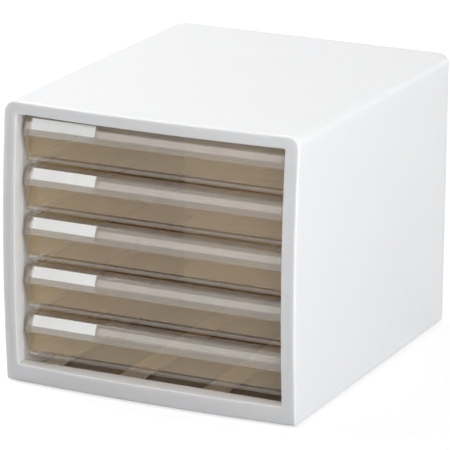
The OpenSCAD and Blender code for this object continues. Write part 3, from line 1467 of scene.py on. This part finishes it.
@dataclass
class DrawerFront:
    """Front of a drawer: panel, pull lip, cheeks and bead."""

    lip: LipLine
    half: float = 121.5
    high: float = 40.0
    rear: float = 16.0
    lip_t: float = 1.8
    cheek_t: float = 2.2
    cheek_back: float = 2.5
    bead_h: float = 4.0
    bead_y: float = 11.0
    panel_y: float = 14.0
    end_r: float = 4.6
    edge_r: float = 0.4
    face_step: float = 1.5
    cheek_step: float = 1.2
    face_rounds: tuple[float, ...] = (0.6, 9.0, 9.0, 22.0, 0.6)
    foot_rounds: tuple[float, ...] = (0.8, 0.5)
    room_rounds: tuple[float, ...] = (0.5, 1.2, 7.0, 0.9, 0.9, 1.0)
    cheek_rounds: tuple[float, ...] = (1.2, 0.0)
    before_cheek: tuple[float, ...] = (3.7, 2.9)
    past_cheek: tuple[float, ...] = (1.5, 0.9, 0.4, 0.2, 0.06, 0.0)

    def face_chain(self) -> list[Corner]:
        """Give the corners from the top of the panel over the lip to its lower edge."""
        corners = ((self.rear, self.high), *self.lip.corners)
        return list(zip(corners, self.face_rounds))

    def foot_chain(self) -> list[Corner]:
        """Give the corners round the foot of the bead."""
        return list(zip(((self.bead_y, 0.0), (self.rear, 0.0)), self.foot_rounds))

    def room_chain(self) -> list[Corner]:
        """Give the corners of the finger room.

        Returns:
            The corners, from the lip's lower edge down to the bead.
        """
        lip = self.lip
        crown = self.high - self.lip_t / lip.out(0).y
        corners = (
            lip.at(2, lip.length(2), -self.lip_t),
            lip.mitre(2, -self.lip_t),
            lip.mitre(1, -self.lip_t),
            (self.panel_y, crown),
            (self.panel_y, self.bead_h),
            (self.bead_y, self.bead_h),
        )
        return list(zip(corners, self.room_rounds))

    def cheek_chain(self) -> list[Corner]:
        """Give the corners of a cheek's front edge."""
        notch = self.lip.at(2, self.lip.length(2), -self.cheek_back)
        return list(zip((notch, (self.bead_y, self.bead_h)), self.cheek_rounds))

    @staticmethod
    def split(
        chain: Sequence[Corner],
        around: tuple[list[Corner], list[Corner]],
        spacing: float = 0.0,
    ) -> list[Point2]:
        """Round a chain's corners as they turn between their neighbours.

        Args:
            chain: The corners to give.
            around: The corners before and after them.
            spacing: Longest distance between two points, where it isn't 0.

        Returns:
            The chain's points.
        """
        whole = list(around[0]) + list(chain) + list(around[1])
        counts = [ARC_STEPS + 1 if radius > 0 else 1 for _, radius in whole]
        counts[0] = counts[-1] = 1
        points = rounded_path(whole, closed=False, steps=ARC_STEPS)
        first = sum(counts[: len(around[0])])
        last = len(points) - sum(counts[len(counts) - len(around[1]) :])
        points = points[first:last]
        if spacing <= 0:
            return points
        dense = [points[0]]
        for point in points[1:]:
            before = Vector(dense[-1])
            step = Vector(point) - before
            pieces = max(1, math.ceil(step.length / spacing))
            dense += [tuple(before + step * part / pieces) for part in range(1, pieces + 1)]
        return dense

    def chains(self) -> tuple[list[Point2], list[Point2], list[Point2], list[Point2]]:
        """Round all four chains.

        Returns:
            The points of the face, the room, the cheek's edge and the foot.
        """
        face, foot = self.face_chain(), self.foot_chain()
        room, cheek = self.room_chain(), self.cheek_chain()
        under_lip = ([face[-1]], [foot[0]])
        return (
            self.split(face, ([foot[-1]], [cheek[0]]), self.face_step),
            self.split(room, under_lip),
            self.split(cheek, under_lip, self.cheek_step),
            self.split(foot, ([cheek[-1]], [face[0]])),
        )

    def moved(self, points: Sequence[Point2], from_end: float) -> list[Point2]:
        """Draw a chain in where the front rounds off towards its end.

        Args:
            points: The chain at full size.
            from_end: Distance from the front's end.

        Returns:
            The chain with the large round of the lip and the small one of its edges.
        """
        large = round_inset(from_end, self.end_r)
        small = round_inset(from_end, self.edge_r)
        tip_y = self.lip.corners[3][0]
        result = []
        count = len(points)
        for index, (y, z) in enumerate(points):
            before = Vector(points[max(index - 1, 0)])
            after = Vector(points[min(index + 1, count - 1)])
            run = (after - before).normalized()
            out = Vector((run.y, -run.x))
            y -= min(out.x, 0.0) * large + out.x * small
            z -= max(out.y, 0.0) * large + out.y * small
            result.append((max(y, tip_y + large), min(z, self.high - large)))
        return result

    @staticmethod
    def marked(length: int, *spans: tuple[int, int]) -> list[int]:
        """Give the slot of the darker copy, painted dark edge lines, to spans of a chain's
        segments.

        Args:
            length: Number of segments.
            spans: First segment of each span and the one after its last.

        Returns:
            One slot for each segment.
        """
        slots = [0] * length
        for first, after in spans:
            slots[first:after] = [PAINTED_DARK_EDGE_SLOT] * (after - first)
        return slots

    def build(self, materials: Sequence[bpy.types.Material]) -> bpy.types.Object:
        """Make the front as one closed mesh, at the height of a drawer's own zero.

        Args:
            materials: The clear material, and those for its painted dark edge lines, the tray
                and the panel with painted light.

        Returns:
            The front.
        """
        face, room, cheek, foot = self.chains()
        count = len(face)
        arc = (0, ARC_STEPS)
        # The rounds at the crown's rear edge, on both sides of the lip's lower edge and at the
        # bead's foot take the darker copy: painted dark edge lines.
        face_slots = self.marked(count, arc, (count - ARC_STEPS - 1, count))
        # The panel is the run between the fourth and the fifth corner of the room. It takes
        # the
        # # lighter copy of the plastic: painted light, as the panel lies in shade under the
        # lip.
        room_slots = self.marked(len(room), arc)
        room_slots[4 * (ARC_STEPS + 1) - 1] = PAINTED_LIGHT_PANEL_SLOT
        foot_slots = self.marked(len(foot), arc)
        open_slots = face_slots + room_slots + foot_slots
        # The cheeks' front edges take painted dark edge lines.
        solid_slots = face_slots + [PAINTED_DARK_EDGE_SLOT] * len(cheek) + foot_slots
        from_end = [self.end_r, *self.before_cheek, self.cheek_t, *self.past_cheek]
        at_cheek = from_end.index(self.cheek_t)
        draft = Draft()
        middle: list[list[bmesh.types.BMVert]] = []
        for side in Side:
            open_loops = []
            solid_loops = []
            for index, distance in enumerate(from_end):
                x = side.value * (self.half - distance)
                rims = [
                    draft.loop([(x, y, z) for y, z in self.moved(chain, distance)])
                    for chain in (face, foot)
                ]
                if index <= at_cheek:
                    inner = draft.loop([(x, y, z) for y, z in room])
                    open_loops.append(rims[0] + inner + rims[1])
                if index >= at_cheek:
                    edge = draft.loop([(x, y, z) for y, z in self.moved(cheek, distance)])
                    solid_loops.append(rims[0] + edge + rims[1])
                if index == at_cheek:
                    draft.cap([rims[0][-1]] + inner + [rims[1][0]] + list(reversed(edge)))
            for first, second in zip(open_loops, open_loops[1:]):
                draft.bridge(first, second, open_slots)
            solid_ends = from_end[at_cheek:]
            for distance, first, second in zip(solid_ends, solid_loops, solid_loops[1:]):
                # The rounded ends take painted dark edge lines.
                round_edge = distance <= self.edge_r
                slots = [PAINTED_DARK_EDGE_SLOT] * len(first) if round_edge else solid_slots
                draft.bridge(first, second, slots)
            draft.cap(solid_loops[-1])
            middle.append(open_loops[0])
        draft.bridge(middle[0], middle[1], open_slots)
        return draft.object("drawer_front", *materials)


@dataclass
class Tray:
    """Tray of a drawer: floor, sides and back in one basin, with the two stop lugs."""

    half: float = 121.47
    front: float = 15.45
    rear: float = 315.8
    low: float = 1.3
    high: float = 33.0
    wall: float = 1.8
    rear_r: float = 4.0
    inner_front: float = 16.02
    under_r: float = 1.2
    under_steps: int = 5
    floor_r: float = 1.6
    floor_steps: int = 6
    rim_r: float = 0.45
    rim_steps: int = 3
    lug_y: float = 263.6
    lug_l: float = 8.0
    lug_top: float = 39.0
    lug_in: float = 0.03
    lug_root: float = 3.0
    lug_r: float = 0.5
    front_r: float = 0.2
    room_front_r: float = 1.2
    least_front_r: float = 0.25
    least_rear_r: float = 0.3

    def basin(self) -> Draft:
        """Make the tray without its lugs.

        Returns:
            The tray.
        """
        plan = RingPlan(across=1, along=1, corner=8)
        stations = []

        def outer(inset: float, z: float) -> None:
            """Add a loop of the outside.

            Args:
                inset: Distance to move it inwards.
                z: Height.
            """
            ring = plan.ring(
                self.half - inset,
                self.front,
                self.rear - inset,
                self.front_r,
                self.rear_r - inset,
            )
            stations.append([(x, y, z) for x, y in ring])

        def inner(inset: float, z: float) -> None:
            """Add a loop of the inside.

            Args:
                inset: Distance to move it inwards.
                z: Height.
            """
            ring = plan.ring(
                self.half - self.wall - inset,
                self.inner_front + inset,
                self.rear - self.wall - inset,
                max(self.room_front_r - inset, self.least_front_r),
                max(self.rear_r - self.wall - inset, self.least_rear_r),
            )
            stations.append([(x, y, z) for x, y in ring])

        for inset, rise in reversed(quarter(self.under_r, self.under_steps)):
            outer(inset, self.low + rise)
        rim_start = len(stations)
        rim = quarter(self.rim_r, self.rim_steps)
        for inset, rise in rim:
            outer(inset, self.high - rise)
        for inset, rise in reversed(rim):
            inner(-inset, self.high - rise)
        rim_end = len(stations) - 1
        floor = self.low + self.wall
        for inset, rise in quarter(self.floor_r, self.floor_steps):
            inner(inset, floor + rise)
        draft = Draft(TRAY_SLOT)
        # The rounds of the upper rim take the darker copy: painted dark edge lines.
        draft.loft(stations, capped=True, bands=range(rim_start, rim_end))
        return draft

    def lug(self, side: Side) -> Draft:
        """Make the stop lug on the rim of one side.

        Args:
            side: The side.

        Returns:
            The lug.
        """
        outside = side.value * (self.half - self.lug_in)
        inside = side.value * (self.half - self.wall + self.lug_in)
        draft = Draft(TRAY_SLOT)
        draft.box(
            (min(outside, inside), self.lug_y, self.high - self.lug_root),
            (max(outside, inside), self.lug_y + self.lug_l, self.lug_top),
            self.lug_r,
        )
        return draft


@dataclass
class LabelWindow:
    """Clear pocket on the lip, open along its upper edge, with a small nib."""

    lip: LipLine
    left: float = -112.6
    long: float = 61.1
    rib: float = 1.3
    start: float = 0.27
    room_end: float = 9.969
    low_end: float = 4.5
    face: float = 1.9
    room: float = 0.9
    nib_r: float = 1.1
    nib_l: float = 6.0
    nib_in: float = 0.3
    nib_end_r: float = 0.7
    nib_steps: int = 4
    nib_turns: int = 24
    off: float = 0.03
    edge_r: float = 0.4
    edge_step: float = 0.1
    rounds: tuple[float, ...] = (0.4, 1.6, 0.7)
    round_steps: int = 5

    def build(self, material: bpy.types.Material) -> bpy.types.Object:
        """Make the pocket as one closed mesh, at the height of a drawer's own zero.

        Args:
            material: Its material.

        Returns:
            The pocket.
        """
        lip = self.lip
        shell = [
            (lip.at(1, self.start, self.face), self.rounds[0]),
            (lip.mitre(2, self.face), self.rounds[1]),
            (lip.at(2, self.low_end, self.face), self.rounds[2]),
            (lip.at(2, self.low_end, self.off), 0.0),
            (lip.mitre(2, self.off), 0.0),
            (lip.at(1, self.room_end, self.off), 0.0),
        ]
        heel = (lip.at(1, self.start, self.off), 0.0)
        foot = (lip.at(1, self.room_end, self.room), 0.0)
        brow = (lip.at(1, self.start, self.room), 0.0)
        outer = rounded_path([heel] + shell + [heel], False, self.round_steps)[1:-1]
        right = self.left + self.long
        draft = Draft()
        rows: dict[Side, list[bmesh.types.BMVert]] = {}
        for side, end in ((Side.LEFT, self.left), (Side.RIGHT, right)):
            solid = []
            for distance in (0.0, self.edge_step, self.edge_r, self.rib):
                x = end - side.value * distance
                points = self.pulled(outer, round_inset(distance, self.edge_r))
                loop = draft.loop([(x, y, z) for y, z in points])
                loop += draft.loop([(x, *heel[0])])
                solid.append(loop)
            for first, second in zip(solid, solid[1:]):
                draft.bridge(first, second)
            draft.cap(solid[0])
            x = end - side.value * self.rib
            pocket = draft.loop([(x, *foot[0]), (x, *brow[0])])
            draft.cap([solid[-1][-2]] + pocket + [solid[-1][-1]])
            draft.cap([solid[-1][-1], pocket[1], solid[-1][0]])
            rows[side] = solid[-1][:-1] + pocket
        draft.bridge(rows[Side.LEFT], rows[Side.RIGHT])
        window = draft.object("label_pocket", material)
        combined(window, self.nib(), Cut.JOIN)
        return window

    @staticmethod
    def pulled(points: Sequence[Point2], pull: float) -> list[Point2]:
        """Draw the pocket's outer line in, with its back left in place.

        Args:
            points: The line.
            pull: Distance to draw it in.

        Returns:
            The new line.
        """
        result = []
        count = len(points)
        for index, point in enumerate(points):
            before = Vector(points[max(index - 1, 0)])
            after = Vector(points[min(index + 1, count - 1)])
            run = (after - before).normalized()
            out = Vector((run.y, -run.x))
            share = 0.0 if index >= count - 3 else pull
            result.append((point[0] - out.x * share, point[1] - out.y * share))
        return result

    def nib(self) -> bpy.types.Object:
        """Make the small rounded nib at the middle of the pocket's bend.

        Returns:
            The nib.
        """
        y, z = self.lip.mitre(2, self.face - self.nib_in)
        middle = self.left + self.long / 2
        half = self.nib_l / 2
        ends = quarter(self.nib_end_r, self.nib_steps)
        marks = [(middle - half + rise, inset) for inset, rise in reversed(ends)]
        marks += [(middle + half - rise, inset) for inset, rise in ends]
        stations = []
        for x, inset in marks:
            radius = self.nib_r - inset
            loop = []
            for turn in range(self.nib_turns):
                angle = 2 * math.pi * turn / self.nib_turns
                loop.append((x, y + radius * math.cos(angle), z + radius * math.sin(angle)))
            stations.append(loop)
        draft = Draft()
        draft.loft(stations, capped=True)
        return draft.object("pocket_nib")


@dataclass
class DrawerStack:
    """The five drawers with their label pockets and cards."""

    count: int = 5
    lowest: float = 21.5
    pitch: float = 43.0
    lip: LipLine = field(default_factory=LipLine)
    sharp: float = 28.0

    def drawer(self, finishes: Finishes) -> bpy.types.Object:
        """Make one drawer at the height of its own zero.

        Args:
            finishes: The tower's finishes.

        Returns:
            The drawer.
        """
        clear = (finishes.smoke, finishes.smoke_painted_dark_edge, finishes.smoke_tray, finishes.smoke_painted_light_panel)
        made = DrawerFront(self.lip).build(clear)
        tray = Tray()
        combined(made, tray.basin().object("basin", *clear), Cut.JOIN)
        for side in Side:
            combined(made, tray.lug(side).object("lug", *clear), Cut.JOIN)
        smoothed(made, self.sharp)
        return made

    def build(self, finishes: Finishes) -> list[bpy.types.Object]:
        """Make the drawers and pockets, and give the cards their finish.

        Args:
            finishes: The tower's finishes.

        Returns:
            The drawers and pockets.
        """
        drawer = self.drawer(finishes)
        window = LabelWindow(self.lip).build(finishes.window)
        smoothed(window, self.sharp)
        made = []
        for index in range(1, self.count + 1):
            lift = self.lowest + (self.count - index) * self.pitch
            body = f"drawer_{index}"
            box = placed(copied(drawer, f"smoke_drawer_{index}"), lift)
            pocket = placed(copied(window, f"label_pocket_{index}"), lift)
            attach(box, body)
            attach(pocket, body)
            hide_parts(f"drawer_{index}")
            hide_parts(f"label_window_{index}")
            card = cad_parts[f"label_card_{index}"]
            for slot in card.material_slots:
                slot.material = finishes.paper
            made += [box, pocket]
        for spare in (drawer, window):
            bpy.data.objects.remove(spare)
        return made


# ---------------------------------------------------------------- studio


@dataclass(frozen=True)
class Softbox:
    """A square lamp that faces a point of the tower."""

    name: str
    place: Point3
    aim: Point3
    size: Point2
    radiance: float

    def build(self) -> bpy.types.Object:
        """Make the lamp.

        Returns:
            The lamp.
        """
        lamp = bpy.data.lights.new(self.name, "AREA")
        lamp.shape = "RECTANGLE"
        lamp.size, lamp.size_y = self.size
        lamp.energy = self.radiance * math.pi * self.size[0] * self.size[1]
        made = bpy.data.objects.new(self.name, lamp)
        made.location = self.place
        way = Vector(self.aim) - Vector(self.place)
        made.rotation_euler = way.to_track_quat("-Z", "Y").to_euler()
        made.visible_camera = False
        bpy.context.scene.collection.objects.link(made)
        return made


@dataclass
class Studio:
    """Floor, daylight, softboxes and the camera of the photograph."""

    floor_size: float = 24.0
    floor_colour: Tint = (0.42, 0.42, 0.43, 1)
    # Half sizes and soft edge of the painted shade under the tower, where the floor's glow is
    # taken away.
    painted_shade_half: Point2 = (0.128, 0.155)
    painted_shade_soft: float = 0.04
    glow_near: float = 0.66
    glow_far: float = 0.95
    glow_from: float = 0.5
    glow_to: float = 2.5
    sky: float = 0.18
    softboxes: tuple[Softbox, ...] = (
        Softbox("softbox_top_left", (-1.3, -0.2, 1.5), (0.0, 0.0, 0.2), (1.0, 1.0), 5.3),
        Softbox("softbox_top", (-0.85, 0.5, 1.85), (0.0, 0.0, 0.2), (1.2, 1.2), 2.6),
        Softbox("softbox_front_top", (0.6, -1.0, 1.6), (0.0, 0.0, 0.15), (1.1, 1.1), 0.8),
        Softbox("strip_front_left", (-0.75, -1.43, 0.80), (0.0, 0.0, 0.12), (0.55, 0.5), 1.8),
        Softbox("softbox_right_front", (1.5, -1.2, 0.5), (0.1, 0.0, 0.12), (1.0, 1.0), 4.2),
        Softbox("softbox_right_high", (1.8, -0.3, 1.1), (0.1, 0.0, 0.12), (1.2, 1.0), 3.0),
        Softbox("softbox_right_low", (2.0, -0.25, 0.35), (0.1, 0.0, 0.12), (1.0, 0.6), 3.6),
        Softbox("softbox_left", (-1.9, 0.5, 0.25), (-0.1, 0.0, 0.12), (1.4, 0.5), 6.0),
        Softbox("softbox_rear", (-0.2, 2.0, 0.13), (0.0, 0.1, 0.12), (1.6, 0.26), 12.0),
    )
    azimuth: float = 25.2954
    elevation: float = 16.4721
    roll: float = 0.4872
    distance: float = 3.1111465
    target: Point3 = (-0.0122110, 0.0148574, 0.1087658)
    focal_px: float = 3578.3571
    image_px: float = 450.0
    sensor: float = 36.0
    far_clip: float = 100.0
    see_through_bounces: int = 40
    diffuse_bounces: int = 8

    def camera(self) -> None:
        """Make the camera."""
        turn, rise = math.radians(self.azimuth), math.radians(self.elevation)
        back = Vector(
            (math.sin(turn) * math.cos(rise), -math.cos(turn) * math.cos(rise), math.sin(rise))
        )
        right = Vector((math.cos(turn), math.sin(turn), 0.0))
        up = back.cross(right)
        lean = math.radians(self.roll)
        across = right * math.cos(lean) + up * math.sin(lean)
        upright = up * math.cos(lean) - right * math.sin(lean)
        data = bpy.data.cameras.new("camera")
        data.sensor_width = self.sensor
        data.lens = self.focal_px / self.image_px * self.sensor
        data.clip_end = self.far_clip
        made = bpy.data.objects.new("camera", data)
        place = Vector(self.target) + back * self.distance
        pose = Matrix((across, upright, back)).transposed().to_4x4()
        made.matrix_world = Matrix.Translation(place) @ pose
        bpy.context.scene.collection.objects.link(made)
        bpy.context.scene.camera = made

    @staticmethod
    def seen_rays(nodes: Nodes) -> bpy.types.NodeSocket:
        """Tell the rays that see a surface from the ones that only light others.

        Args:
            nodes: Tree to work in.

        Returns:
            1 for camera, glossy and transmission rays and 0 for the others.
        """
        path = nodes.node("ShaderNodeLightPath").outputs
        seen = nodes.value("MAXIMUM", path["Is Camera Ray"], path["Is Glossy Ray"])
        return nodes.value("MAXIMUM", seen, path["Is Transmission Ray"])

    def daylight(self) -> None:
        """Make the world: plain soft light, and white to the eye."""
        world = bpy.data.worlds.new("studio")
        world.use_nodes = True
        world.node_tree.nodes.clear()
        nodes = Nodes(world.node_tree)
        soft, white = (
            nodes.node("ShaderNodeBackground", {"Color": WHITE, "Strength": strength})
            for strength in (self.sky, 1.0)
        )
        inputs = {
            "Fac": self.seen_rays(nodes),
            1: soft.outputs["Background"],
            2: white.outputs["Background"],
        }
        mix = nodes.node("ShaderNodeMixShader", inputs)
        nodes.node("ShaderNodeOutputWorld", {"Surface": mix.outputs["Shader"]})
        bpy.context.scene.world = world

    def floor_painted_shade_mask(self, nodes: Nodes) -> bpy.types.NodeSocket:
        """Mask of painted shade: the floor's glow is taken away under the tower, which stands
        at its middle, so the floor there shows dark as in shade.

        Args:
            nodes: The floor's tree.

        Returns:
            0 under the tower, where the glow goes and shade is painted, and 1 outside it.
        """
        place = nodes.node("ShaderNodeTexCoord").outputs["Object"]
        parts = nodes.node("ShaderNodeSeparateXYZ", {"Vector": place}).outputs
        shares = [
            nodes.value("ABSOLUTE", nodes.value("DIVIDE", parts[axis], half))
            for axis, half in zip("XY", self.painted_shade_half)
        ]
        most = nodes.value("MAXIMUM", *shares)
        return nodes.spread(most, (1.0 - self.painted_shade_soft, 1.0), 0.0, 1.0)

    def floor(self) -> None:
        """Make the pale floor, with the tower's shadow and painted shade under it."""
        bm = bmesh.new()
        bmesh.ops.create_grid(bm, x_segments=1, y_segments=1, size=self.floor_size / 2)
        mesh = bpy.data.meshes.new("floor")
        bm.to_mesh(mesh)
        bm.free()
        made = bpy.data.objects.new("floor", mesh)
        bpy.context.scene.collection.objects.link(made)
        material = bpy.data.materials.new("floor_pale")
        material.use_nodes = True
        material.node_tree.nodes.clear()
        nodes = Nodes(material.node_tree)
        place = nodes.node("ShaderNodeTexCoord").outputs["Object"]
        away = nodes.node("ShaderNodeVectorMath", {0: place}, operation="LENGTH")
        span = (self.glow_from, self.glow_to)
        ramp = nodes.spread(away.outputs["Value"], span, self.glow_near, self.glow_far)
        # The glow is taken away under the tower: painted shade, seen through the base's slots.
        lit = nodes.value("MULTIPLY", ramp, self.floor_painted_shade_mask(nodes))
        level = nodes.value("MULTIPLY", self.seen_rays(nodes), lit)
        matt = nodes.node("ShaderNodeBsdfDiffuse", {"Color": self.floor_colour})
        glow = nodes.node("ShaderNodeEmission", {"Color": WHITE, "Strength": level})
        inputs = {0: matt.outputs["BSDF"], 1: glow.outputs["Emission"]}
        both = nodes.node("ShaderNodeAddShader", inputs)
        nodes.node("ShaderNodeOutputMaterial", {"Surface": both.outputs["Shader"]})
        mesh.materials.append(material)

    def build(self) -> None:
        """Make the studio."""
        self.camera()
        self.daylight()
        self.floor()
        for softbox in self.softboxes:
            softbox.build()
        scene = bpy.context.scene
        scene.view_settings.view_transform = "Standard"
        scene.cycles.transparent_max_bounces = self.see_through_bounces
        scene.cycles.diffuse_bounces = self.diffuse_bounces


def main() -> None:
    """Dress the drawer tower and light it."""
    logging.basicConfig(level=logging.INFO, format="%(name)s: %(message)s")
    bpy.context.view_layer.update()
    Studio().build()
    finishes = Finishes()
    casing = Casing()
    makers: list[tuple[str, Callable[[Finishes], object]]] = [
        ("casing shell", CasingShell(casing).build),
        ("back cover", BackCover(casing).build),
        ("base plate", BaseGrid(casing).build),
        ("left runner panel", RunnerPanel(casing, Side.LEFT).build),
        ("right runner panel", RunnerPanel(casing, Side.RIGHT).build),
        ("foot pads", FootPads().build),
        ("drawers", DrawerStack().build),
    ]
    for name, make in makers:
        made = make(finishes)
        pieces = made if isinstance(made, list) else [made]
        for piece in pieces:
            log.info("%s: %s, %d faces", name, piece.name, len(piece.data.polygons))


if __name__ == "__main__":
    main()
